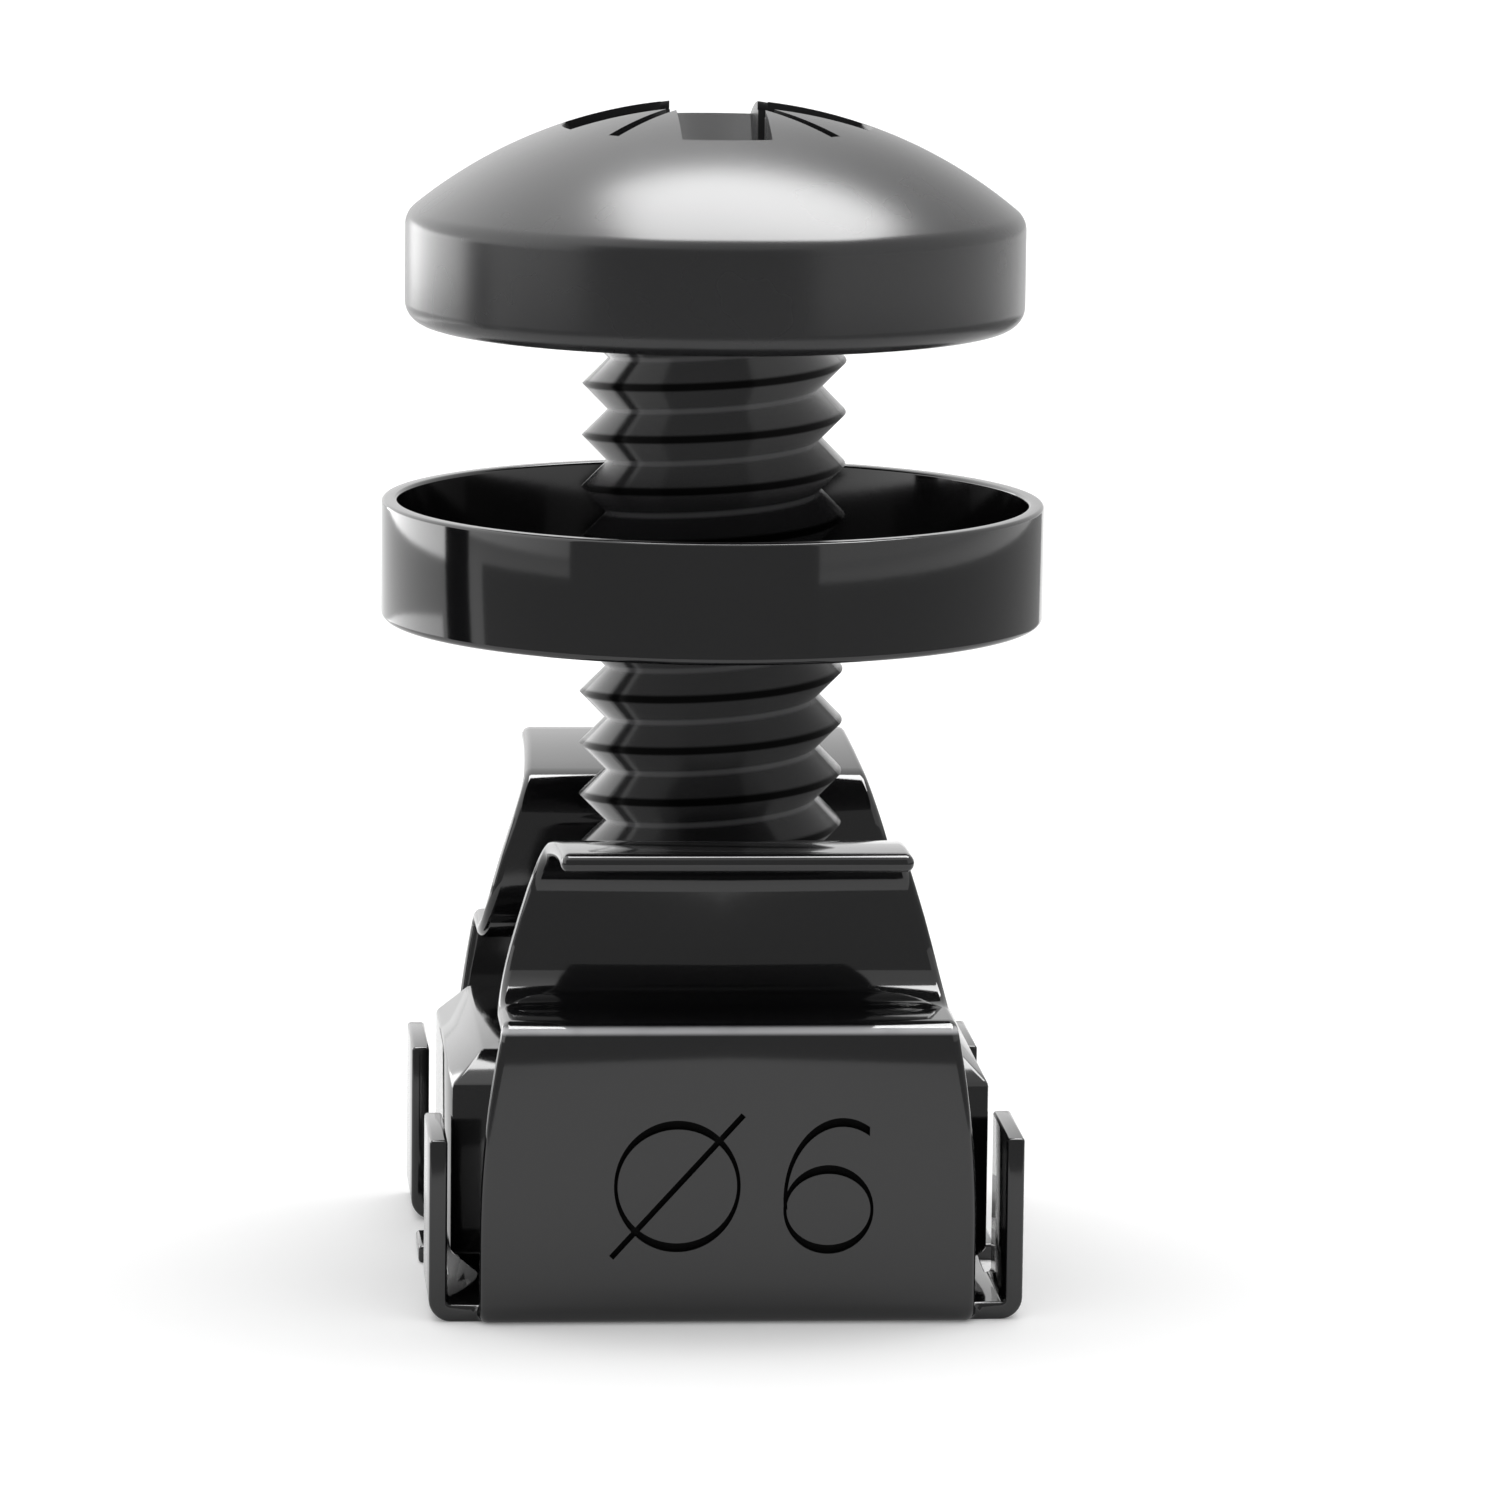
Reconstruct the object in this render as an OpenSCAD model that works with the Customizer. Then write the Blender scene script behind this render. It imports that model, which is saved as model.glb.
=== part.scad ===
// Rack cage nut with its cup washer and pan-head screw, in millimetres, +Z up.
// The origin is the centre of the cage's footprint, on the face of the cage that is
// furthest from the rail. The legs point up, through the rail's square hole.

/* [Cage sheet] */
// Thickness of the spring steel sheet
sheet_t = 0.4; // [0.3:0.05:0.5]
// Inside radius of the sharp folds, at the feet, shoulders and side tabs
fold_in_r = 0.1; // [0.05:0.05:0.3]
// Depth over the two leg walls
wall_span = 15; // [14:0.25:17]
// Width over the four side tabs
tab_span = 13.2; // [12.6:0.2:15]
// Height of the side tabs above the cage's underside
tab_h = 4.1; // [3:0.1:4.6]
// Length of each side tab along the cage's edge
tab_len = 3.2; // [2:0.1:4.5]
// Width of the small ear in the middle of each side
ear_w = 1.8; // [1:0.1:3]
// Radius of the hole through the base plate
base_hole_r = 3.4; // [3.2:0.05:4]

/* [Cage legs] */
// Width of a leg at its foot
leg_w = 11; // [10:0.1:11.4]
// Height up to which the sides of a leg are straight
leg_straight_h = 2; // [1:0.1:3]
// Radius of the curve that narrows a leg from there up
leg_side_r = 23.5; // [20:0.5:40]
// Height of the shoulders that rest on the back of the rail
shoulder_h = 6.8; // [6.4:0.1:8]
// Depth over the two necks, which pass through a 9.5 mm square hole
neck_span = 8.8; // [8.4:0.1:9.2]
// Radius of the outside face where a shoulder turns up into its neck
neck_r = 1.2; // [0.8:0.1:1.6]
// Length of the upright stretch of a neck
neck_straight = 1.2; // [0.3:0.1:2]
// Radius of the outside face where a neck turns out into its lip
lip_r = 0.9; // [0.5:0.1:1.4]
// Slope of a lip where it leaves its bend, in degrees; it curves level from there
lip_slope = 10; // [4:1:30]
// Length of a lip from its bend to its edge
lip_len = 4; // [1.5:0.1:4.5]

/* [Nut] */
// Gap between the nut and the side tabs, on each side
nut_side_gap = 0.18; // [0.1:0.02:0.4]
// Gap between the nut and the leg walls, at each end
nut_end_gap = 2.55; // [1.2:0.05:2.6]
// Play between the nut and the underside of the shoulders
nut_play = 0.85; // [0.3:0.05:1.5]
// Chamfer round the upper edges
nut_top_chamfer = 0.7; // [0.3:0.05:1.2]
// Chamfer round the lower edges
nut_foot_chamfer = 0.65; // [0.1:0.05:0.8]
// Countersink at each end of the thread
nut_sink = 0.35; // [0.1:0.05:0.6]

/* [Screw] */
// Thread diameter
thread_d = 6; // [5.8:0.05:6.1]
// Radial clearance between the screw's thread and each hole that it runs in
thread_gap = 0.04; // [0.02:0.01:0.1]
// Length under the head
screw_l = 20; // [20:1:25]
// Height of the screw's tip above the cage's underside
tip_z = 1.45; // [0.6:0.05:2.5]
// Chamfer at the tip
tip_chamfer = 0.6; // [0.2:0.1:1]
// Head diameter
head_d = 14; // [12:0.25:15]
// Height of the upright rim of the head
head_rim_h = 2.45; // [1.5:0.05:3.5]
// Height of the dome above the rim
head_dome_h = 2.6; // [1.8:0.05:3.5]
// Rounding of the head's lower edge
head_edge_r = 0.5; // [0.2:0.05:0.8]
// Rounding where the dome meets the rim
head_crease_r = 0.5; // [0.2:0.05:0.8]

/* [Drive recess] */
// Span over two opposite wings of the cross
wing_span = 7; // [5:0.1:8]
// Width of a wing
wing_w = 2; // [1.2:0.05:2.4]
// Depth of the recess below the top of the dome
recess_depth = 3.4; // [2.4:0.1:3.8]
// Radius of the recess at its bottom
recess_foot_r = 1.2; // [0.8:0.1:2]
// Width of the four tick marks between the wings
tick_w = 0.3; // [0.15:0.05:0.5]
// Depth of the tick marks
tick_depth = 0.2; // [0.1:0.05:0.4]

/* [Cup washer] */
// Height of the washer's underside above the cage's underside
washer_z = 14.75; // [13:0.25:17]
// Height of the cup
cup_h = 2.7; // [2:0.1:3.4]
// Thickness of the cup's wall
cup_wall = 0.36; // [0.3:0.02:0.6]
// Thickness of the cup's floor
cup_floor = 0.6; // [0.4:0.05:1]
// Gap round the screw's head when it sits in the cup
cup_gap = 0.14; // [0.05:0.01:0.4]
// Rounding of the cup's lower edge
cup_edge_r = 0.15; // [0.05:0.05:0.3]

/* [Hidden] */
$fn = 96;
over = 1; // how far a cutting tool runs past the face it starts from

// Cage
fold_r = fold_in_r + sheet_t; // outside radius of the sharp folds
wall_y = wall_span / 2;
tab_x = tab_span / 2;
plate_y = wall_y - fold_r; // the base plate ends where the feet start to fold
plate_x = tab_x - fold_r; // and where the tabs start to fold
neck_y = neck_span / 2;
neck_z = shoulder_h + neck_r; // foot of the upright stretch
lip_z = neck_z + neck_straight; // height of the centre of the lip's bend
level_r = lip_len * 180 / (PI * lip_slope); // inside radius of the lip's long curve
cage_top = lip_z + lip_r + level_r * (1 - cos(lip_slope)) + sheet_t;

// Nut
nut_w = tab_span - 2 * (sheet_t + nut_side_gap);
nut_l = wall_span - 2 * (sheet_t + nut_end_gap);
nut_h = shoulder_h - 2 * sheet_t - nut_play;

// Screw
shank_r = thread_d / 2;
bore_r = shank_r + thread_gap;
head_r = head_d / 2;
head_z = tip_z + screw_l; // underside of the head
rim_z = head_z + head_rim_h;
top_z = rim_z + head_dome_h;
dome_r = (head_r * head_r + head_dome_h * head_dome_h) / (2 * head_dome_h);
dome_z = top_z - dome_r; // centre of the dome's sphere
crease_x = head_r - head_crease_r; // centre of the rounding between rim and dome
crease_z = dome_z + sqrt(pow(dome_r - head_crease_r, 2) - pow(crease_x, 2));
crease_a = atan2(crease_z - dome_z, crease_x); // slope of the line where it joins the dome
wing_r = wing_span / 2;

// Washer
cup_in_r = head_r + cup_gap;
cup_r = cup_in_r + cup_wall;

// Turns a flat outline so that its x runs along Y and its y up Z, and gives it a
// width along X.
module across_x(width)
    translate([-width / 2, 0, 0]) rotate([90, 0, 90]) linear_extrude(width) children();

// Turns a flat outline so that its x runs along X and its y up Z, and gives it a
// width along Y.
module across_y(width)
    translate([0, width / 2, 0]) rotate([90, 0, 0]) linear_extrude(width) children();

// One bend of the sheet, seen along its axis: a ring sector of inside radius r_in
// about c, from angle a0 to angle a1, no more than 90 degrees apart.
module bend(c, r_in, a0, a1) {
    reach = 2 * (r_in + sheet_t);
    translate(c) intersection() {
        difference() {
            circle(r = r_in + sheet_t);
            circle(r = r_in);
        }
        polygon([[0, 0], for (a = [a0, (a0 + a1) / 2, a1]) reach * [cos(a), sin(a)]]);
    }
}

// Section of one leg, from the edge of the base plate to the end of the lip.
module leg_section() {
    // foot and wall
    bend([plate_y, fold_r], fold_in_r, -90, 0);
    translate([wall_y - sheet_t, fold_r]) square([sheet_t, shoulder_h - 2 * fold_r]);
    // shoulder
    bend([plate_y, shoulder_h - fold_r], fold_in_r, 0, 90);
    translate([neck_y + neck_r, shoulder_h - sheet_t]) square([plate_y - neck_y - neck_r, sheet_t]);
    // neck
    bend([neck_y + neck_r, neck_z], neck_r, 180, 270);
    translate([neck_y - sheet_t, neck_z]) square([sheet_t, neck_straight]);
    // lip: a tight bend, then a long curve whose centre lies further down the same line
    translate([neck_y + lip_r, lip_z]) rotate(lip_slope) {
        bend([0, 0], lip_r, 90, 180 - lip_slope);
        bend([0, lip_r - level_r], level_r, 90 - lip_slope, 90);
    }
}

// Front view of a leg: straight sides at the foot, then a curve on each side.
module leg_outline() {
    curve_x = leg_side_r - leg_w / 2;
    translate([-leg_w / 2, -over]) square([leg_w, over + leg_straight_h]);
    intersection() {
        translate([curve_x, leg_straight_h]) circle(r = leg_side_r);
        translate([-curve_x, leg_straight_h]) circle(r = leg_side_r);
        translate([-leg_w / 2, leg_straight_h]) square([leg_w, cage_top]);
    }
}

// Section of one side tab, from the edge of the base plate up.
module tab_section() {
    bend([plate_x, fold_r], fold_in_r, -90, 0);
    translate([tab_x - sheet_t, fold_r]) square([sheet_t, tab_h - fold_r]);
}

module base_plate() {
    linear_extrude(sheet_t) difference() {
        union() {
            square([2 * plate_x, 2 * plate_y], center = true);
            square([tab_span, ear_w], center = true);
        }
        circle(r = base_hole_r);
    }
}

// One folded sheet: base plate, two legs and four side tabs.
module cage() {
    color("#2c2d2f") {
        base_plate();
        for (turn = [0, 180])
            rotate(turn) intersection() {
                across_x(leg_w) leg_section();
                translate([0, wall_y, 0]) across_y(wall_span) leg_outline();
            }
        for (end = [0, 1], side = [0, 1])
            mirror([side, 0, 0]) mirror([0, end, 0])
                translate([0, plate_y - tab_len / 2, 0]) across_y(tab_len) tab_section();
    }
}

// The captive nut lies on the base plate and reaches under both shoulders.
module nut() {
    color("#3a3b3d") translate([0, 0, sheet_t]) difference() {
        intersection() {
            across_y(nut_l) polygon([
                [-nut_w / 2 + nut_foot_chamfer, 0],
                [nut_w / 2 - nut_foot_chamfer, 0],
                [nut_w / 2, nut_foot_chamfer],
                [nut_w / 2, nut_h - nut_top_chamfer],
                [nut_w / 2 - nut_top_chamfer, nut_h],
                [-nut_w / 2 + nut_top_chamfer, nut_h],
                [-nut_w / 2, nut_h - nut_top_chamfer],
                [-nut_w / 2, nut_foot_chamfer]
            ]);
            across_x(nut_w) polygon([
                [-nut_l / 2 + nut_foot_chamfer, 0],
                [nut_l / 2 - nut_foot_chamfer, 0],
                [nut_l / 2, nut_foot_chamfer],
                [nut_l / 2, nut_h - nut_top_chamfer],
                [nut_l / 2 - nut_top_chamfer, nut_h],
                [-nut_l / 2 + nut_top_chamfer, nut_h],
                [-nut_l / 2, nut_h - nut_top_chamfer],
                [-nut_l / 2, nut_foot_chamfer]
            ]);
        }
        translate([0, 0, -over]) cylinder(r = bore_r, h = nut_h + 2 * over);
        translate([0, 0, -over]) cylinder(r1 = bore_r + nut_sink + over, r2 = bore_r, h = nut_sink + over);
        translate([0, 0, nut_h - nut_sink])
            cylinder(r1 = bore_r, r2 = bore_r + nut_sink + over, h = nut_sink + over);
    }
}

// A shallow cup with a hole that grips the thread, so that it stays half-way up.
module cup_washer() {
    color("#29292b") translate([0, 0, washer_z]) rotate_extrude() {
        translate([bore_r, 0]) square([cup_r - cup_edge_r - bore_r, cup_floor]);
        translate([cup_in_r, cup_edge_r]) square([cup_wall, cup_h - cup_edge_r]);
        translate([cup_r - cup_edge_r, cup_edge_r]) circle(r = cup_edge_r);
    }
}

// Tapered cross with four tick marks between its wings. The taper reaches the full
// span of the wings where it comes out of the dome.
module drive_recess() {
    foot_z = top_z - recess_depth;
    taper_h = dome_z + sqrt(dome_r * dome_r - wing_r * wing_r) - foot_z;
    taper = (wing_r - recess_foot_r) / taper_h;
    intersection() {
        translate([0, 0, foot_z])
            cylinder(r1 = recess_foot_r, r2 = wing_r + taper * over, h = taper_h + over);
        for (turn = [0, 90])
            rotate(turn) translate([-head_r, -wing_w / 2, foot_z])
                cube([head_d, wing_w, recess_depth + over]);
    }
    intersection() {
        difference() {
            translate([0, 0, dome_z]) sphere(r = dome_r + over);
            translate([0, 0, dome_z]) sphere(r = dome_r - tick_depth);
        }
        for (turn = [45, 135])
            rotate(turn) translate([-wing_r, -tick_w / 2, foot_z])
                cube([wing_span, tick_w, recess_depth + over]);
    }
}

// Half of the head's section: flat underside, upright rim, dome, and two roundings.
module head_section() {
    difference() {
        intersection() {
            translate([0, head_z]) square([head_r, head_rim_h + head_dome_h]);
            translate([0, dome_z]) circle(r = dome_r);
        }
        translate([head_r - head_edge_r, head_z + head_edge_r]) difference() {
            translate([0, -head_edge_r - over]) square([head_edge_r + over, head_edge_r + over]);
            circle(r = head_edge_r);
        }
        translate([crease_x, crease_z]) difference() {
            polygon(2 * head_crease_r * [[0, 0], [1, 0], [1, tan(crease_a)]]);
            circle(r = head_crease_r);
        }
    }
}

module screw_head() {
    difference() {
        rotate_extrude() head_section();
        drive_recess();
    }
}

// The thread itself is drawn as its outer cylinder.
module screw() {
    color("#333436") {
        screw_head();
        translate([0, 0, tip_z + tip_chamfer])
            cylinder(r = shank_r, h = screw_l - tip_chamfer);
        translate([0, 0, tip_z])
            cylinder(r1 = shank_r - tip_chamfer, r2 = shank_r, h = tip_chamfer);
    }
}

cage();
nut();
cup_washer();
screw();
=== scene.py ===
import bpy
import bmesh
import math
from mathutils import Matrix, Vector


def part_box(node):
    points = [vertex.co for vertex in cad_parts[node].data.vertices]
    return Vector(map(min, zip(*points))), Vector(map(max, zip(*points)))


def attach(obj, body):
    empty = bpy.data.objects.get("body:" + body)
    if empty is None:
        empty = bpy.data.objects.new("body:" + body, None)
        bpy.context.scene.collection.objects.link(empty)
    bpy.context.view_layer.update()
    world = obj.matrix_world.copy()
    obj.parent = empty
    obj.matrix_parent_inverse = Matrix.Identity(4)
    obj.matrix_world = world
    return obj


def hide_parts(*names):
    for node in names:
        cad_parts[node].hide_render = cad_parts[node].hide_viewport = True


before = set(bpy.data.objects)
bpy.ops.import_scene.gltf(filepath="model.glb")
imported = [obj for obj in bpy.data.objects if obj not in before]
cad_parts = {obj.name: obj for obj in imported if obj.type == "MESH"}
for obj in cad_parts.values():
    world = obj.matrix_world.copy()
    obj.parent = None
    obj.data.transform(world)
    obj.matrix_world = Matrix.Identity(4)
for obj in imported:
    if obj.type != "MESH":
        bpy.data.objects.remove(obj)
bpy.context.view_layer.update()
mm = 0.001      # sizes below are in millimetres
over = 1.0      # how far a cutting tool runs past the face it starts from
boxes = {node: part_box(node) for node in ("cage", "nut", "cup_washer", "screw")}
print("frame loaded:", ", ".join(sorted(boxes)))


def deselectAll():
    if bpy.context.object and bpy.context.object.mode != "OBJECT":
        bpy.ops.object.mode_set(mode="OBJECT")
    bpy.ops.object.select_all(action="DESELECT")


def newPiece(name):
    piece = bpy.context.object
    piece.name = name
    piece.data.name = name
    return piece


def makeActive(piece):
    deselectAll()
    piece.select_set(True)
    bpy.context.view_layer.objects.active = piece


def startEdit(piece, kind="EDGE"):
    makeActive(piece)
    bpy.ops.object.mode_set(mode="EDIT")
    bpy.ops.mesh.select_mode(type=kind)


def endEdit():
    bpy.ops.object.mode_set(mode="OBJECT")


def pick(kind, test):
    # selects the edges, faces or verts of the open mesh whose middle passes the test
    mesh = bmesh.from_edit_mesh(bpy.context.object.data)
    bpy.ops.mesh.select_mode(type={"edges": "EDGE", "faces": "FACE", "verts": "VERT"}[kind])
    bpy.ops.mesh.select_all(action="DESELECT")
    for item in getattr(mesh, kind):
        points = [item.co] if kind == "verts" else [v.co for v in item.verts]
        item.select_set(bool(test(sum(points, Vector()) / len(points) / mm, item)))
    mesh.select_flush_mode()
    bmesh.update_edit_mesh(bpy.context.object.data)


def near(a, b, room=0.001):
    return abs(a - b) < room


def bendOn(centre, axis, angle, steps):
    # carries the selected edges round a bend
    bpy.ops.mesh.spin(steps=steps, angle=math.radians(-angle), center=Vector(centre) * mm, axis=axis)


def runOn(move, steps=1):
    # carries the selected edges along a straight
    for _ in range(steps):
        bpy.ops.mesh.extrude_region_move(
            TRANSFORM_OT_translate={"value": Vector(move) * mm / steps})


def cutAt(point, normal):
    # splits the sheet along a plane
    bpy.ops.mesh.select_all(action="SELECT")
    bpy.ops.mesh.bisect(plane_co=Vector(point) * mm, plane_no=normal)


def finishWith(piece, kind, **settings):
    # adds a modifier with its settings and applies it
    makeActive(piece)
    step = piece.modifiers.new(kind.title(), kind)
    for key, value in settings.items():
        setattr(step, key, value)
    bpy.ops.object.modifier_apply(modifier=step.name)


def cutWith(piece, tool, operation="DIFFERENCE"):
    finishWith(piece, "BOOLEAN", object=tool, operation=operation, solver="MANIFOLD")
    bpy.data.objects.remove(tool, do_unlink=True)


def smoothed(piece, angle):
    makeActive(piece)
    bpy.ops.object.shade_smooth_by_angle(angle=math.radians(angle))


def tidyMesh(piece):
    startEdit(piece)
    bpy.ops.mesh.select_all(action="SELECT")
    bpy.ops.mesh.remove_doubles(threshold=0.0005 * mm)
    bpy.ops.mesh.normals_make_consistent(inside=False)
    endEdit()


def turned(name, outline, closed, sides=128):
    # a ring of edges is drawn out along (radius, height) points, as on a lathe
    deselectAll()
    radius, height = outline[0]
    bpy.ops.mesh.primitive_circle_add(vertices=sides, radius=radius * mm,
                                      location=(0, 0, height * mm), fill_type="NOTHING")
    bpy.ops.object.transform_apply()
    piece = newPiece(name)
    startEdit(piece)
    bpy.ops.mesh.select_all(action="SELECT")
    points = outline[1:] + (outline[:1] if closed else [])
    for nextRadius, nextHeight in points:
        runOn((0, 0, nextHeight - height))
        scale = nextRadius / radius
        bpy.ops.transform.resize(value=(scale, scale, 1), center_override=(0, 0, nextHeight * mm))
        radius, height = nextRadius, nextHeight
    if not closed:
        bpy.ops.mesh.edge_face_add()
        pick("edges", lambda p, e: e.is_boundary)
        bpy.ops.mesh.edge_face_add()
    endEdit()
    tidyMesh(piece)
    return piece


def block(name, low, high, turn=0):
    # a box between two corners, then turned round the upright axis
    deselectAll()
    middle = [(a + b) / 2 * mm for a, b in zip(low, high)]
    bpy.ops.mesh.primitive_cube_add(size=1, location=middle)
    bpy.ops.transform.resize(value=[(b - a) * mm for a, b in zip(low, high)])
    bpy.ops.object.transform_apply()
    piece = newPiece(name)
    piece.rotation_euler.z = math.radians(turn)
    bpy.ops.object.transform_apply()
    return piece


def arc(cx, cz, r, a0, a1, steps):
    # points of an arc in (radius, height), angles in degrees
    angles = [math.radians(a0 + (a1 - a0) * i / steps) for i in range(steps + 1)]
    return [(cx + r * math.cos(a), cz + r * math.sin(a)) for a in angles]


# cage: one folded sheet
cageSizes = {
    "sheet": 0.4,
    "foldInside": 0.1,
    "wallSpan": 15.0,
    "tabSpan": 13.2,
    "tabHeight": 4.1,
    "tabLength": 3.2,
    "earWidth": 1.8,
    "holeRadius": 3.4,
    "legWidth": 11.0,
    "straightHeight": 2.0,
    "sideRadius": 23.5,
    "shoulder": 6.8,
    "neckSpan": 8.8,
    "neckRadius": 1.2,
    "neckStraight": 1.2,
    "lipRadius": 0.9,
    "lipSlope": 10.0,        # degrees, where the lip leaves its bend; from there it curves level
    "lipLength": 4.0,
    "foldSteps": 8,
    "legEdge": 0.19,
    "tabEdge": 0.08,
}

# a plain size mark, sunk in the front wall: a ring with a stroke through it, and a figure six
markSizes = {
    "depth": 0.2,
    "ringCentre": (-1.15, 3.15),
    "ringOutside": (1.4, 1.48),
    "ringInside": (1.32, 1.28),
    "strokeEnds": ((-2.6, 1.55), (0.3, 4.75)),
    "strokeWidth": 0.13,
    "bowlCentre": (2.2, 2.62),
    "bowlOutside": (1.0, 1.0),
    "bowlInside": (0.93, 0.8),
    "stemCentre": (2.5, 2.85),
    "stemOutside": (1.3, 1.83),
    "stemInside": (1.22, 1.63),
    "stemWindow": (0.2, 3.1, 6.0),      # left, right and top of the part of the stem's oval that stays
    "lead": 0.4,                        # how far the tools stand out in front of the wall
    "area": ((-3.6, 1.4), (3.6, 5.0)),  # two corners of the part of the wall that holds the mark
}


def legHalfWidth(z):
    s = cageSizes
    rise = max(0.0, z - s["straightHeight"])
    return s["legWidth"] / 2 - s["sideRadius"] + math.sqrt(s["sideRadius"] ** 2 - rise ** 2)


def foldedQuarter():
    # the sheet's middle surface, for one quarter of the cage
    s = cageSizes
    t = s["sheet"]
    fold = s["foldInside"] + t
    plateX = s["tabSpan"] / 2 - fold
    plateY = s["wallSpan"] / 2 - fold
    neckY = s["neckSpan"] / 2
    neckZ = s["shoulder"] + s["neckRadius"]
    lipZ = neckZ + s["neckStraight"]
    levelRadius = s["lipLength"] / math.radians(s["lipSlope"])
    slope = math.radians(s["lipSlope"])
    fall = levelRadius - s["lipRadius"]

    deselectAll()
    bpy.ops.mesh.primitive_plane_add(size=1, location=(plateX * mm / 2, plateY * mm / 2, t * mm / 2))
    bpy.ops.transform.resize(value=(plateX * mm, plateY * mm, 1))
    bpy.ops.object.transform_apply()
    sheet = newPiece("cageSheet")
    startEdit(sheet)
    cutAt((s["legWidth"] / 2, 0, 0), (1, 0, 0))
    cutAt((0, plateY - s["tabLength"], 0), (0, 1, 0))
    cutAt((0, s["earWidth"] / 2, 0), (0, 1, 0))

    # ear
    pick("edges", lambda p, e: near(p.x, plateX) and p.y < s["earWidth"] / 2)
    runOn((fold, 0, 0))
    # side tab
    pick("edges", lambda p, e: near(p.x, plateX) and p.y > plateY - s["tabLength"])
    bendOn((plateX, 0, fold), (0, 1, 0), -90, s["foldSteps"])
    runOn((0, 0, s["tabHeight"] - fold), 2)
    # leg: foot, wall, shoulder, ledge, neck, lip
    pick("edges", lambda p, e: near(p.y, plateY) and near(p.z, t / 2) and p.x < s["legWidth"] / 2)
    bendOn((0, plateY, fold), (1, 0, 0), 90, s["foldSteps"])
    runOn((0, 0, s["shoulder"] - 2 * fold), 12)
    bendOn((0, plateY, s["shoulder"] - fold), (1, 0, 0), 90, s["foldSteps"])
    runOn((0, neckY + s["neckRadius"] - plateY, 0))
    bendOn((0, neckY + s["neckRadius"], neckZ), (1, 0, 0), -90, 2 * s["foldSteps"])
    runOn((0, 0, s["neckStraight"]), 2)
    bendOn((0, neckY + s["lipRadius"], lipZ), (1, 0, 0), s["lipSlope"] - 90, 2 * s["foldSteps"])
    bendOn((0, neckY + s["lipRadius"] + fall * math.sin(slope), lipZ - fall * math.cos(slope)), (1, 0, 0),
           -s["lipSlope"], 8)

    # the sides of the leg curve in towards the lip
    mesh = bmesh.from_edit_mesh(sheet.data)
    edge = s["legWidth"] / 2 * mm
    for z in sorted({round(v.co.z, 9) for v in mesh.verts if near(v.co.x, edge, 1e-7)}):
        narrower = legHalfWidth(z / mm) * mm - edge
        if z > s["straightHeight"] * mm:
            pick("verts", lambda p, v: near(v.co.x, edge, 1e-7) and near(v.co.z, z, 1e-8))
            bpy.ops.transform.translate(value=(narrower, 0, 0))
    endEdit()
    return sheet


def ovalBar(name, centre, radii, front, back):
    # an upright oval, drawn through the wall from front to back
    deselectAll()
    bpy.ops.mesh.primitive_cylinder_add(vertices=96, radius=1, depth=1)
    bpy.ops.transform.resize(value=(radii[0] * mm, radii[1] * mm, (back - front) * mm))
    oval = newPiece(name)
    oval.rotation_euler.x = math.radians(90)
    oval.location = (centre[0] * mm, (front + back) / 2 * mm, centre[1] * mm)
    bpy.ops.object.transform_apply()
    return oval


def ovalRing(name, front, back):
    s = markSizes
    ring = ovalBar(name + "Tool", s[name + "Centre"], s[name + "Outside"], front, back)
    cutWith(ring, ovalBar(name + "Hole", s[name + "Centre"], s[name + "Inside"], front - over, back + over))
    return ring


def makeMark():
    s = markSizes
    face = -cageSizes["wallSpan"] / 2
    front, back = face - s["lead"], face + s["depth"]
    mark, bowl, stem = [ovalRing(name, front, back) for name in ("ring", "bowl", "stem")]
    left, right, top = s["stemWindow"]
    window = block("stemWindow", (left, front - over, s["bowlCentre"][1]), (right, back + over, top))
    cutWith(stem, window, "INTERSECT")
    (x0, z0), (x1, z1) = s["strokeEnds"]
    deselectAll()
    bpy.ops.mesh.primitive_cube_add(size=1)
    bpy.ops.transform.resize(value=(math.dist((x0, z0), (x1, z1)) * mm, (back - front) * mm,
                                    s["strokeWidth"] * mm))
    stroke = newPiece("strokeTool")
    stroke.rotation_euler.y = -math.atan2(z1 - z0, x1 - x0)
    stroke.location = ((x0 + x1) / 2 * mm, (front + back) / 2 * mm, (z0 + z1) / 2 * mm)
    bpy.ops.object.transform_apply()
    for part in (stroke, bowl, stem):
        cutWith(mark, part, "UNION")
    return mark


def makeCage():
    s = cageSizes
    sheet = foldedQuarter()
    finishWith(sheet, "MIRROR", use_axis=(True, True, False), merge_threshold=0.001 * mm)
    tidyMesh(sheet)
    finishWith(sheet, "SOLIDIFY", thickness=s["sheet"] * mm, offset=0, use_even_offset=True)
    hole = turned("holeTool", [(s["holeRadius"], -over), (s["holeRadius"], over)], closed=False, sides=96)
    cutWith(sheet, hole)
    # the cut edges are rounder on the legs than on the tabs
    startEdit(sheet)
    legFoot = s["wallSpan"] / 2 - s["foldInside"] - s["sheet"]
    legSide = s["legWidth"] / 2 + 0.01
    aboveBase = s["sheet"] + 0.01

    def onLeg(p):
        return abs(p.x) < legSide and (abs(p.y) > legFoot or p.z > aboveBase)

    for leg, share in ((True, 1.0), (False, s["tabEdge"] / s["legEdge"])):
        pick("edges", lambda p, e: e.calc_face_angle(0) > math.radians(50) and onLeg(p) == leg)
        bpy.ops.transform.edge_bevelweight(value=share)
    endEdit()
    finishWith(sheet, "BEVEL", width=s["legEdge"] * mm, segments=4, limit_method="WEIGHT",
               use_clamp_overlap=False)
    cutWith(sheet, makeMark())
    smoothed(sheet, 35)
    return sheet


# nut: a cold-formed block
nutSizes = {
    "width": 12.04,
    "length": 9.1,
    "height": 5.15,
    "foot": 0.4,
    "topChamfer": 0.7,
    "footChamfer": 0.65,
    "boreRadius": 3.04,
    "sink": 0.35,
    "edgeBevel": 0.07,
}


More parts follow.
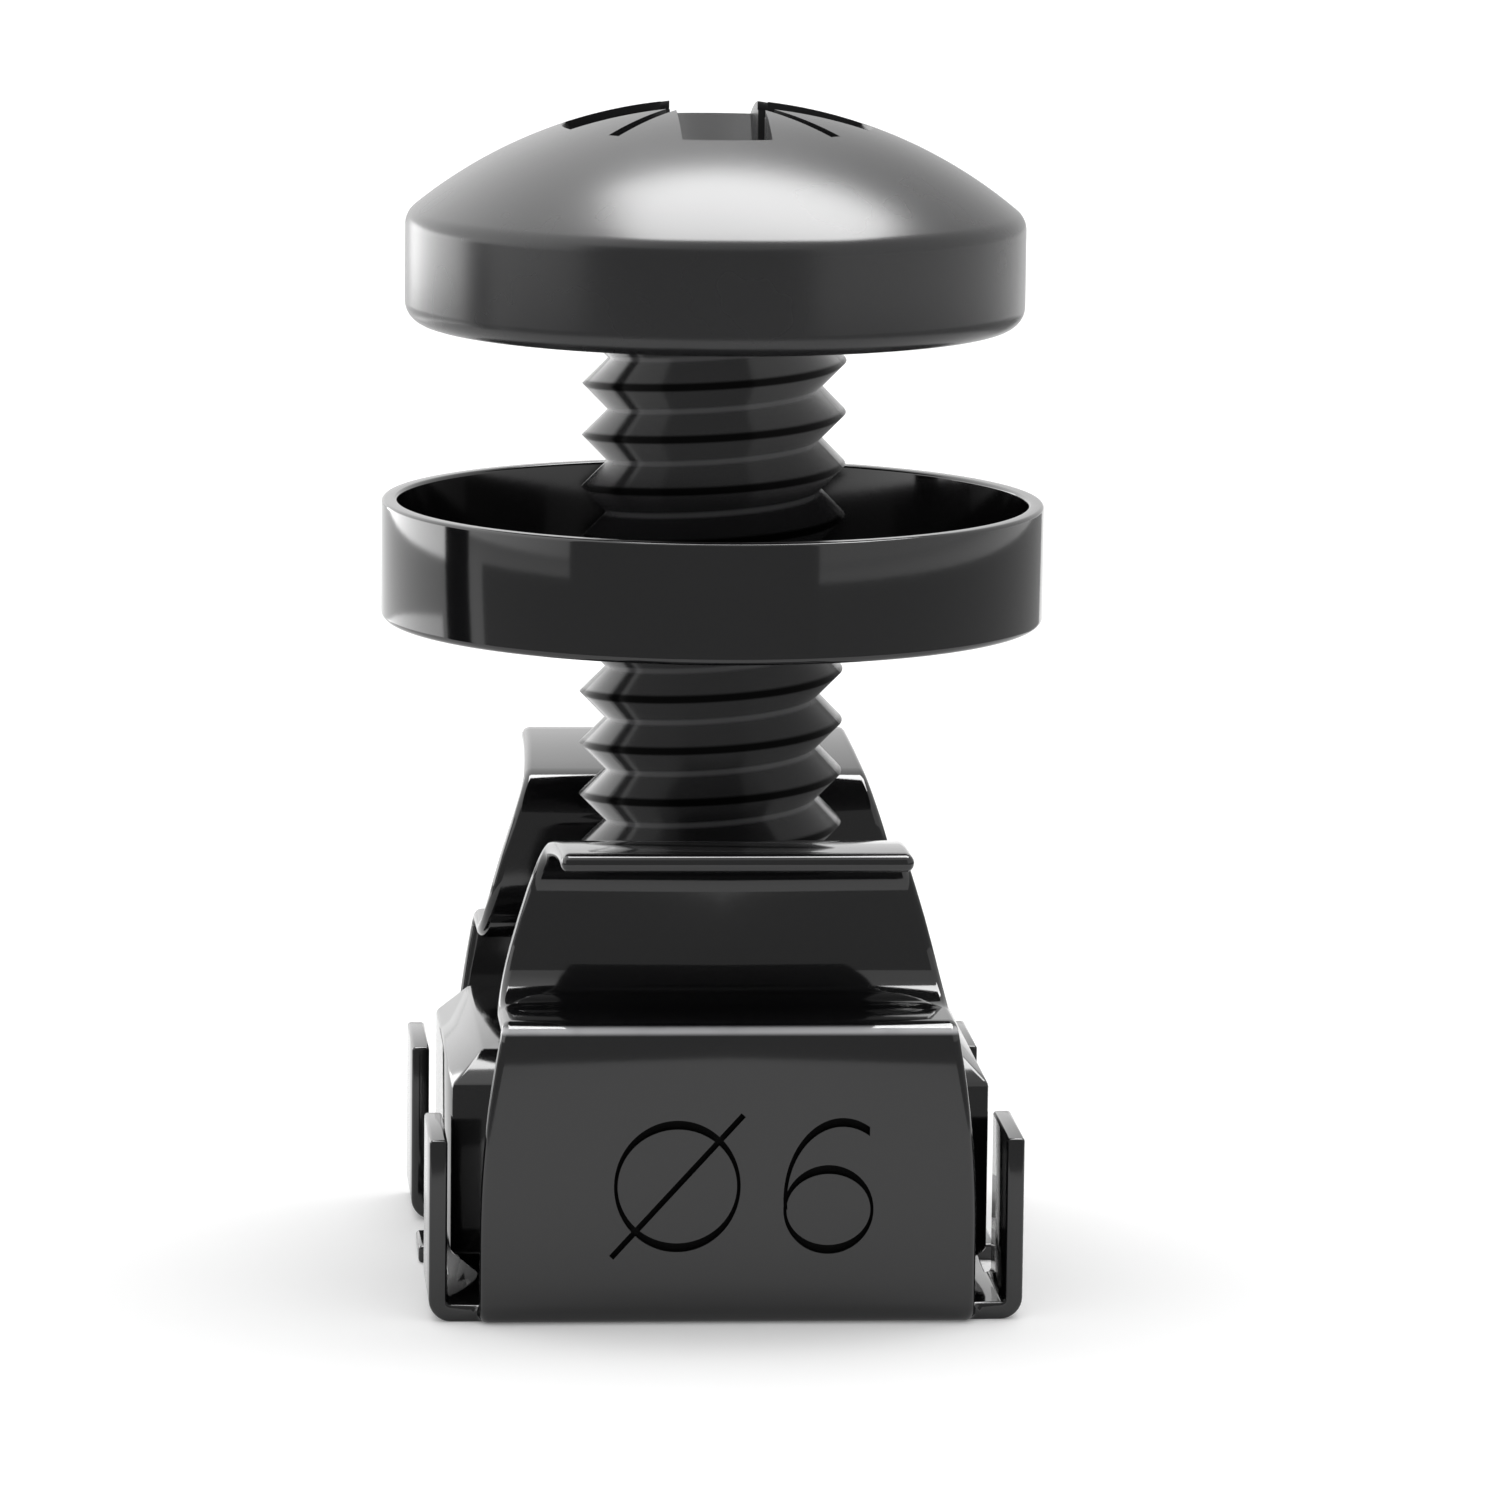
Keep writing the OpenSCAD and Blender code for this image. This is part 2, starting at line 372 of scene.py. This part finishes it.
def makeNut():
    s = nutSizes
    low, high = s["foot"], s["foot"] + s["height"]
    x, y = s["width"] / 2, s["length"] / 2
    body = block("nutBlock", (-x, -y, low), (x, y, high))
    startEdit(body)
    pick("edges", lambda p, e: near(p.z, high))
    bpy.ops.mesh.bevel(offset=s["topChamfer"] * mm, offset_type="OFFSET", segments=1)
    pick("edges", lambda p, e: near(p.z, low))
    bpy.ops.mesh.bevel(offset=s["footChamfer"] * mm, offset_type="OFFSET", segments=1)
    endEdit()
    bore, sink = s["boreRadius"], s["sink"]
    mouth = bore + sink + over
    outline = [(mouth, low - over), (bore, low + sink), (bore, high - sink), (mouth, high + over)]
    cutWith(body, turned("boreTool", outline, closed=False, sides=96))
    finishWith(body, "BEVEL", width=s["edgeBevel"] * mm, segments=2, limit_method="ANGLE",
               angle_limit=math.radians(30), use_clamp_overlap=False)
    smoothed(body, 25)
    return body


# cup washer, turned from one section
washerSizes = {
    "underside": 14.75,
    "height": 2.7,
    "outerRadius": 7.5,
    "wall": 0.36,
    "floor": 0.6,
    "holeRadius": 3.04,
    "footEdge": 0.15,
    "rimEdge": 0.08,
    "holeEdge": 0.05,
    "cornerInside": 0.15,
}


def makeWasher():
    s = washerSizes
    z, top = s["underside"], s["underside"] + s["height"]
    outer, inner = s["outerRadius"], s["outerRadius"] - s["wall"]
    rim, foot, corner, floor = s["rimEdge"], s["footEdge"], s["cornerInside"], z + s["floor"]
    hole, edge = s["holeRadius"], s["holeEdge"]
    outline = [(hole, z + edge), (hole + edge, z)]
    outline += arc(outer - foot, z + foot, foot, -90, 0, 5)
    outline += arc(outer - rim, top - rim, rim, 0, 90, 4)
    outline += arc(inner + rim, top - rim, rim, 90, 180, 4)
    outline += arc(inner - corner, floor + corner, corner, 0, -90, 4)
    outline += [(hole + edge, floor), (hole, floor - edge)]
    cup = turned("cupWasher", outline, closed=True, sides=192)
    smoothed(cup, 35)
    return cup


# screw: a domed head with its recess, and a rolled thread
screwSizes = {
    "tip": 1.45,
    "length": 20.0,
    "threadRadius": 2.985,
    "pitch": 1.173,
    "threadDepth": 0.575,
    "leftCrest": 20.09,      # height of one crest on the left side, which sets the thread's start
    "tipChamfer": 0.6,
    "headRadius": 7.0,
    "rimHeight": 2.45,
    "domeHeight": 2.6,
    "footEdge": 0.5,
    "creaseEdge": 0.5,
    "wingSpan": 7.0,
    "wingWidth": 2.0,
    "recessDepth": 3.4,
    "recessFoot": 1.2,
    "tickWidth": 0.3,
    "tickDepth": 0.2,
    "closingRing": 3.2,      # radius of the face that closes the head below, where the shank joins it
    "threadReach": 3.1,      # faces nearer the axis than this belong to the thread
    "envelopeRoom": 0.4,     # how far the shank's envelope stands clear of the crests
}


def domeShape():
    # radius of the dome's sphere and height of its centre
    s = screwSizes
    rim = s["tip"] + s["length"] + s["rimHeight"]
    radius = (s["headRadius"] ** 2 + s["domeHeight"] ** 2) / (2 * s["domeHeight"])
    return radius, rim + s["domeHeight"] - radius


def makeHead():
    s = screwSizes
    under = s["tip"] + s["length"]
    domeRadius, domeCentre = domeShape()
    edge, crease = s["footEdge"], s["creaseEdge"]
    # centre of the small rounding that touches both the upright rim and the dome
    x = s["headRadius"] - crease
    z = domeCentre + math.sqrt((domeRadius - crease) ** 2 - x ** 2)
    turn = math.degrees(math.atan2(z - domeCentre, x))
    outline = [(s["closingRing"], under)]
    outline += arc(s["headRadius"] - edge, under + edge, edge, -90, 0, 8)
    outline += arc(x, z, crease, 0, turn, 8)
    # the dome runs from just past the rounding to just short of its top, where a face closes it
    outline += arc(0, domeCentre, domeRadius, turn + 1.5, 89, 40)
    return turned("screwHead", outline, closed=False, sides=192)


def cutRecess(head):
    s = screwSizes
    domeRadius, domeCentre = domeShape()
    top = domeCentre + domeRadius
    foot = top - s["recessDepth"]
    wing = s["wingSpan"] / 2
    wingTop = domeCentre + math.sqrt(domeRadius ** 2 - wing ** 2)
    slope = (wing - s["recessFoot"]) / (wingTop - foot)
    outline = [(s["recessFoot"], foot), (wing, wingTop), (wing + slope * over, wingTop + over)]
    half = s["wingWidth"] / 2
    reach, low, high = 10, foot - over, top + over / 2
    apart = 0.001       # the second bar is a hair taller, so that no two faces coincide
    cross = block("crossTool", (-reach, -half, low), (reach, half, high))
    bar = block("crossTool2", (-reach, -half, low - apart), (reach, half, high + apart), 90)
    cutWith(cross, bar, "UNION")
    cutWith(cross, turned("coneTool", outline, closed=False, sides=96), "INTERSECT")
    cutWith(head, cross)
    # the four tick marks follow the dome at an even depth
    half = s["tickWidth"] / 2
    tickFloor = arc(0, domeCentre, domeRadius - s["tickDepth"], 60, 89.5, 30)
    for turn in (45, 135):
        tick = block("tickTool", (-wing, -half, foot), (wing, half, high), turn)
        cutWith(tick, turned("innerDome", tickFloor, closed=False))
        cutWith(head, tick)


def makeThread():
    s = screwSizes
    pitch = s["pitch"]
    crest = s["threadRadius"]
    root = crest - s["threadDepth"]
    # the ridge starts below the tip and ends above the head's underside, and is cut to length later
    start = s["leftCrest"] - pitch * (math.ceil((s["leftCrest"] - s["tip"]) / pitch) + 2.5)
    turns = math.ceil((s["length"] + 4 * pitch) / pitch)

    # a zigzag of roots and crests goes up the left side and is turned into the helix
    deselectAll()
    bpy.ops.mesh.primitive_plane_add(size=1)
    line = newPiece("threadShank")
    startEdit(line, "VERT")
    bpy.ops.mesh.select_all(action="SELECT")
    bpy.ops.mesh.merge(type="CENTER")
    bpy.ops.mesh.select_all(action="SELECT")
    bpy.ops.transform.translate(value=Vector((-root, 0, start)) * mm)
    for _ in range(turns):
        runOn((root - crest, 0, pitch / 2))
        runOn((crest - root, 0, pitch / 2))
    endEdit()
    finishWith(line, "SCREW", axis="Z", angle=math.radians(360), screw_offset=pitch * mm, steps=96,
               render_steps=96, use_merge_vertices=False, use_smooth_shade=False)
    startEdit(line)
    bpy.ops.mesh.select_all(action="SELECT")
    bpy.ops.mesh.remove_doubles(threshold=0.001 * mm)
    # each end is drawn on and closed in a point
    for low in (True, False):
        middle = s["tip"] + s["length"] / 2
        pick("edges", lambda p, e: e.is_boundary and (p.z < middle) == low)
        runOn((0, 0, -0.5 if low else 0.5))
        bpy.ops.mesh.merge(type="CENTER")
    bpy.ops.mesh.select_all(action="SELECT")
    bpy.ops.mesh.normals_make_consistent(inside=False)
    endEdit()
    return line


def makeScrew():
    s = screwSizes
    tip, under = s["tip"], s["tip"] + s["length"]
    room = s["envelopeRoom"]
    wide = s["threadRadius"] + room
    outline = [(s["threadRadius"] - s["tipChamfer"], tip), (wide, tip + s["tipChamfer"] + room),
               (wide, under + over)]
    shank = makeThread()
    cutWith(shank, turned("shankEnvelope", outline, closed=False, sides=96), "INTERSECT")
    head = makeHead()
    cutWith(head, shank, "UNION")
    cutRecess(head)
    tidyMesh(head)
    smoothed(head, 30)
    # the thread shades softly from crest to root
    startEdit(head)
    low, high = tip + s["tipChamfer"] + 0.2, under - 0.05
    pick("edges", lambda p, e: low < p.z < high and math.hypot(p.x, p.y) < s["threadRadius"] + 0.1)
    bpy.ops.mesh.mark_sharp(clear=True)
    endEdit()
    return head


def isThread(p):
    s = screwSizes
    return p.z < s["tip"] + s["length"] - 0.001 and math.hypot(p.x, p.y) < s["threadReach"]


def isMark(p):
    face = -cageSizes["wallSpan"] / 2
    (left, low), (right, high) = markSizes["area"]
    sunk = face + 0.01 < p.y < face + markSizes["depth"] + 0.01
    return sunk and left < p.x < right and low < p.z < high


def linear(hexColour):
    # sRGB hex to the linear values the shaders take
    values = [int(hexColour[i:i + 2], 16) / 255 for i in (1, 3, 5)]
    return [v / 12.92 if v <= 0.04045 else ((v + 0.055) / 1.055) ** 2.4 for v in values] + [1]


def perMm(size):
    # noise scale for a pattern of that size in millimetres
    return 1000 / size


def addNode(tree, kind, settings=None, links=None):
    node = tree.nodes.new("ShaderNode" + kind)
    for key, value in (settings or {}).items():
        if key in node.inputs:
            node.inputs[key].default_value = value
        else:
            setattr(node, key, value)
    for key, source in (links or {}).items():
        tree.links.new(source, node.inputs[key])
    return node


def newMaterial(name):
    material = bpy.data.materials.new(name)
    material.use_nodes = True
    material.node_tree.nodes.clear()
    return material, material.node_tree


def ramp(tree, value, low, high):
    # 0 below low, 1 above high, soft between
    step = addNode(tree, "MapRange", {"interpolation_type": "SMOOTHSTEP", "From Min": low, "From Max": high})
    tree.links.new(value, step.inputs["Value"])
    return step.outputs["Result"]


def mixed(tree, share, first, second):
    mix = addNode(tree, "MixRGB", None, {"Fac": share})
    for socket, colour in (("Color1", first), ("Color2", second)):
        if isinstance(colour, str):
            mix.inputs[socket].default_value = linear(colour)
        else:
            tree.links.new(colour, mix.inputs[socket])
    return mix.outputs["Color"]


def blackCoat(name, look, extra=None):
    material, tree = newMaterial(name)
    place = addNode(tree, "TexCoord").outputs["Object"]
    cloud = addNode(tree, "TexNoise", {"Scale": perMm(look["cloudSize"]), "Detail": 3.0}, {"Vector": place})
    peel = addNode(tree, "TexNoise", {"Scale": perMm(look["peelSize"]), "Detail": 2.0}, {"Vector": place})
    colour = mixed(tree, cloud.outputs["Fac"], look["colour"], look["colourLight"])
    rough = addNode(tree, "MapRange", {"To Min": look["roughMin"], "To Max": look["roughMax"]},
                    {"Value": cloud.outputs["Fac"]})
    bump = addNode(tree, "Bump", {"Strength": 1.0, "Distance": look["peelHeight"] * mm},
                   {"Height": peel.outputs["Fac"]})
    coat = addNode(tree, "BsdfPrincipled", {"IOR": look["ior"]},
                   {"Roughness": rough.outputs["Result"], "Normal": bump.outputs["Normal"]})
    if extra:
        colour = extra(tree, place, colour, coat)
    tree.links.new(colour, coat.inputs["Base Color"])
    addNode(tree, "OutputMaterial", None, {"Surface": coat.outputs["BSDF"]})
    return material


def shoulderPaintedHighlight(tree, place, colour, coat):
    # painted highlight: a light grey line along the outside of the shoulder bend, in broken patches, standing in
    # for the bright reflection of the bend
    parts = addNode(tree, "SeparateXYZ", None, {"Vector": place})
    outward = addNode(tree, "Math", {"operation": "ABSOLUTE"})
    tree.links.new(parts.outputs["Y"], outward.inputs[0])
    share = ramp(tree, outward.outputs[0], *[y * mm for y in sheetLook["highlightOutward"]])
    for low, high in (sheetLook["highlightRise"], sheetLook["highlightFall"]):
        step = addNode(tree, "Math", {"operation": "MULTIPLY"})
        tree.links.new(share, step.inputs[0])
        tree.links.new(ramp(tree, parts.outputs["Z"], low * mm, high * mm), step.inputs[1])
        share = step.outputs[0]
    patch = addNode(tree, "TexNoise", {"Scale": perMm(sheetLook["highlightPatchSize"]), "Detail": 4.0}, {"Vector": place})
    broken = addNode(tree, "MapRange", {"From Min": 0.25, "From Max": 0.5, "To Min": 0.75, "To Max": 1.0},
                     {"Value": patch.outputs["Fac"]})
    highlightMask = addNode(tree, "Math", {"operation": "MULTIPLY"})
    tree.links.new(share, highlightMask.inputs[0])
    tree.links.new(broken.outputs["Result"], highlightMask.inputs[1])
    return mixed(tree, highlightMask.outputs[0], colour, sheetLook["highlightColour"])


def threadPaintedShadeAndLight(tree, place, colour, coat):
    # painted shade darkens the crests, with less specular there, and painted light lightens the roots; they
    # stand in for the shade and light lines that the smooth shading across the flanks leaves out
    flat = addNode(tree, "VectorMath", {"operation": "MULTIPLY"})
    tree.links.new(place, flat.inputs[0])
    flat.inputs[1].default_value = (1, 1, 0)
    radius = addNode(tree, "VectorMath", {"operation": "LENGTH"})
    tree.links.new(flat.outputs[0], radius.inputs[0])
    crest = ramp(tree, radius.outputs["Value"], *[r * mm for r in threadLook["crestRadii"]])
    root = ramp(tree, radius.outputs["Value"], *[r * mm for r in threadLook["rootRadii"]])
    flankShine, crestShine = threadLook["shine"]
    shine = addNode(tree, "MapRange", {"To Min": flankShine, "To Max": crestShine}, {"Value": crest})
    tree.links.new(shine.outputs["Result"], coat.inputs["Specular IOR Level"])
    return mixed(tree, crest, mixed(tree, root, colour, threadLook["root"]), threadLook["crest"])


# glossy electro-dipped black on sheet steel: near-black body, clear mirror images, a faint orange peel
sheetLook = {"colour": "#0d0d0e", "colourLight": "#121213", "cloudSize": 4.0, "peelSize": 0.5,
             "peelHeight": 0.0005, "roughMin": 0.06, "roughMax": 0.10, "ior": 1.55, "highlightColour": "#b4b4b6",
             # the painted highlight on the shoulder sets in over the outward and rising ranges and fades out
             # over the falling range
             "highlightOutward": (7.2, 7.25), "highlightRise": (6.5, 6.62), "highlightFall": (6.73, 6.65), "highlightPatchSize": 1.2}
# satin electro-dip on a cold-headed screw: softer images and a greyer body
headLook = {"colour": "#1c1c1d", "colourLight": "#222223", "cloudSize": 3.0, "peelSize": 0.25,
            "peelHeight": 0.0006, "roughMin": 0.24, "roughMax": 0.3, "ior": 1.5}
# the same coat on the rolled thread, smoother from the rolling dies
threadLook = {"colour": "#1a1a1b", "colourLight": "#202021", "cloudSize": 2.0, "peelSize": 0.25,
              "peelHeight": 0.0004, "roughMin": 0.14, "roughMax": 0.19, "ior": 1.5,
              # painted light in the roots and painted shade on the crests
              "root": "#4a4a4b", "crest": "#030303",
              # radii over which the painted shade of the crest and the painted light of the root set in, and
              # shine of flank and crest
              "crestRadii": (2.86, 2.93), "rootRadii": (2.50, 2.43), "shine": (0.5, 0.06)}
# painted shade at the bottom of the sunk mark: darker, duller and less reflective than the coat around it
markPaintedShadeLook = {"colour": "#040404", "colourLight": "#070707", "cloudSize": 1.0, "peelSize": 0.1,
            "peelHeight": 0.002, "roughMin": 0.6, "roughMax": 0.75, "ior": 1.2}


cage = makeCage()
print("cage folded:", len(cage.data.polygons), "faces", [round(c / mm, 3) for c in cage.dimensions])
nut = makeNut()
print("nut cut:", len(nut.data.polygons), "faces", [round(c / mm, 3) for c in nut.dimensions])
washer = makeWasher()
print("washer turned:", len(washer.data.polygons), "faces", [round(c / mm, 3) for c in washer.dimensions])
screw = makeScrew()
print("screw cut:", len(screw.data.polygons), "faces", [round(c / mm, 3) for c in screw.dimensions])

# the cage's coat carries the painted highlight along the shoulder bend
cageCoatWithHighlight = blackCoat("glossBlackEcoatPaintedHighlight", sheetLook, shoulderPaintedHighlight)
sheetCoat = blackCoat("glossBlackEcoat", sheetLook)
headCoat = blackCoat("satinBlackEcoat", headLook)
threadCoatWithPaintedShading = blackCoat("rolledThreadEcoatPaintedShading", threadLook, threadPaintedShadeAndLight)
# painted shade for the bottom of the sunk mark
markPaintedShadeCoat = blackCoat("paintedShadeInSunkMark", markPaintedShadeLook)
for piece, node, body, coat, otherCoat, test in (
        (cage, "cage", "cage_nut", cageCoatWithHighlight, markPaintedShadeCoat, isMark),
        (nut, "nut", "cage_nut", sheetCoat, None, None),
        (washer, "cup_washer", "washer", sheetCoat, None, None),
        (screw, "screw", "screw", headCoat, threadCoatWithPaintedShading, isThread)):
    piece.data.materials.clear()
    piece.data.materials.append(coat)
    if otherCoat:
        piece.data.materials.append(otherCoat)
        for face in piece.data.polygons:
            face.material_index = int(test(face.center / mm))
    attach(piece, body)
    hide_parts(node)
print("materials set")


studio = {
    "floorSize": 4.0,
    "floorColour": "#f7f7f7",
    "floorLift": 0.12,          # extra light that only the camera sees, so that the open floor reads white
    "worldDiffuse": 0.8,
    "leftGlow": 1.3,            # how much brighter than white the upper left of the room mirrors
    "glowWay": (-0.8, 0.35, 0.5),
    "glowLevels": (0.3, 0.9),   # the glow sets in and is full at these shares of that way
    "boxHeight": 0.6,
    "boxSize": (0.88, 0.36),
    "boxPlace": (0.084, 0.17),
    "boxPower": 2.2,
    "glossSize": (0.505, 0.40),
    "glossPlace": (0.0925, 0.14),
    "glossPower": 14.5,
}

# upright curved screens that only mirrored rays see: radius and height in mm, sweep in degrees from the
# front, positive to the right, and brightness
screens = {
    "frontScreen": {"radius": 47, "sweep": (-50, 30), "height": (0, 50), "strength": 0.4},
    "lowLeftScreen": {"radius": 47, "sweep": (-84, -50), "height": (0, 14), "strength": 0.4},
    "lowRightScreen": {"radius": 47, "sweep": (30, 150), "height": (0, 14), "strength": 0.42},
    "darkScreen": {"radius": 47, "sweep": (-102, -90.5), "height": (0, 24), "strength": 0.0},
    "leftScreen": {"radius": 112, "sweep": (-155, -106), "height": (8, 32), "strength": 5.0},
    "lowerLeftScreen": {"radius": 60, "sweep": (-155, -106), "height": (0.5, 4.5), "strength": 3.0},
}


def whiteSeen(tree):
    # 1 for what the camera sees directly or mirrored, 0 for light on matt surfaces
    path = addNode(tree, "LightPath")
    seen = addNode(tree, "Math", {"operation": "MAXIMUM"})
    tree.links.new(path.outputs["Is Camera Ray"], seen.inputs[0])
    tree.links.new(path.outputs["Is Glossy Ray"], seen.inputs[1])
    both = addNode(tree, "Math", {"operation": "MAXIMUM"})
    tree.links.new(seen.outputs[0], both.inputs[0])
    tree.links.new(path.outputs["Is Transmission Ray"], both.inputs[1])
    return both.outputs[0]


def makeWorld():
    world = bpy.data.worlds.new("paleStudio")
    world.use_nodes = True
    bpy.context.scene.world = world
    tree = world.node_tree
    tree.nodes.clear()
    level = addNode(tree, "MapRange", {"To Min": studio["worldDiffuse"], "To Max": 1.0},
                    {"Value": whiteSeen(tree)})
    # mirrored rays find the upper left of the room brighter
    way = addNode(tree, "TexCoord").outputs["Generated"]
    side = addNode(tree, "VectorMath", {"operation": "DOT_PRODUCT"})
    tree.links.new(way, side.inputs[0])
    side.inputs[1].default_value = studio["glowWay"]
    low, high = studio["glowLevels"]
    rise = addNode(tree, "MapRange",
                   {"From Min": low, "From Max": high, "To Min": 0.0, "To Max": studio["leftGlow"]},
                   {"Value": side.outputs["Value"]})
    mirrored = addNode(tree, "Math", {"operation": "MULTIPLY"})
    tree.links.new(rise.outputs["Result"], mirrored.inputs[0])
    tree.links.new(addNode(tree, "LightPath").outputs["Is Glossy Ray"], mirrored.inputs[1])
    total = addNode(tree, "Math", {"operation": "ADD"})
    tree.links.new(level.outputs["Result"], total.inputs[0])
    tree.links.new(mirrored.outputs[0], total.inputs[1])
    sky = addNode(tree, "Background", {"Color": (1, 1, 1, 1)}, {"Strength": total.outputs[0]})
    addNode(tree, "OutputWorld", None, {"Surface": sky.outputs["Background"]})


def makeFloor():
    deselectAll()
    bpy.ops.mesh.primitive_plane_add(size=studio["floorSize"], location=(0, 0, 0))
    floor = newPiece("studioFloor")
    # matt and nearly white, and lifted to white where the camera sees it open
    material, tree = newMaterial("paleFloor")
    matt = addNode(tree, "BsdfDiffuse", {"Color": linear(studio["floorColour"])})
    lift = addNode(tree, "MapRange", {"To Min": 0.0, "To Max": studio["floorLift"]},
                   {"Value": whiteSeen(tree)})
    glow = addNode(tree, "Emission", {"Color": (1, 1, 1, 1)}, {"Strength": lift.outputs["Result"]})
    both = addNode(tree, "AddShader")
    tree.links.new(matt.outputs[0], both.inputs[0])
    tree.links.new(glow.outputs[0], both.inputs[1])
    addNode(tree, "OutputMaterial", None, {"Surface": both.outputs[0]})
    floor.data.materials.append(material)
    return floor


def onlyMirrored(card, strength):
    # lights nothing and shows only in reflections
    material, tree = newMaterial(card.name)
    glow = addNode(tree, "Emission", {"Color": (1, 1, 1, 1), "Strength": strength})
    addNode(tree, "OutputMaterial", None, {"Surface": glow.outputs[0]})
    card.data.materials.append(material)
    card.visible_camera = card.visible_diffuse = card.visible_shadow = False
    card.visible_transmission = False


def makeScreen(name, radius, sweep, height, strength):
    deselectAll()
    bpy.ops.mesh.primitive_circle_add(vertices=360, radius=radius * mm, location=(0, 0, height[0] * mm),
                                      fill_type="NOTHING")
    bpy.ops.object.transform_apply()
    screen = newPiece(name)
    startEdit(screen)
    pick("edges", lambda p, e: not sweep[0] < math.degrees(math.atan2(p.x, -p.y)) < sweep[1])
    bpy.ops.mesh.delete(type="EDGE")
    bpy.ops.mesh.select_all(action="SELECT")
    runOn((0, 0, height[1] - height[0]))
    endEdit()
    onlyMirrored(screen, strength)


makeWorld()
makeFloor()
for name, screen in screens.items():
    makeScreen(name, **screen)
# a bright card overhead, which the dome mirrors, and a softbox just above it, which lights
deselectAll()
bpy.ops.mesh.primitive_plane_add(size=1)
bpy.ops.transform.resize(value=(*studio["glossSize"], 1))
bpy.ops.transform.translate(value=(*studio["glossPlace"], studio["boxHeight"]))
bpy.ops.object.transform_apply()
onlyMirrored(newPiece("overheadCard"), studio["glossPower"])

width, depth = studio["boxSize"]
boxX, boxY = studio["boxPlace"]
height = studio["boxHeight"]
bpy.ops.object.light_add(type="AREA", location=(boxX, boxY, height + 0.01))
softbox = bpy.context.object
softbox.data.shape = "RECTANGLE"
softbox.data.size, softbox.data.size_y = width, depth
softbox.data.energy = studio["boxPower"] * math.pi * width * depth
softbox.visible_glossy = False
softbox.visible_camera = False
print("studio built")


cameraSizes = {
    "place": (-14.10, -199.60, 43.60),
    "yaw": 4.30,        # degrees, as are pitch and roll
    "pitch": 9.054,
    "roll": 0.666,
    "lens": 213.79,
    "sensor": 36,
}


def makeCamera():
    s = cameraSizes
    bpy.ops.object.camera_add()
    camera = bpy.context.object
    camera.data.lens = s["lens"]
    camera.data.sensor_width = s["sensor"]
    camera.data.clip_start = 0.01
    turn = (Matrix.Rotation(math.radians(-s["yaw"]), 4, "Z")
            @ Matrix.Rotation(math.radians(90 - s["pitch"]), 4, "X")
            @ Matrix.Rotation(math.radians(s["roll"]), 4, "Z"))
    camera.matrix_world = Matrix.Translation(Vector(s["place"]) * mm) @ turn
    bpy.context.scene.camera = camera


makeCamera()
bpy.context.scene.view_settings.view_transform = "Standard"
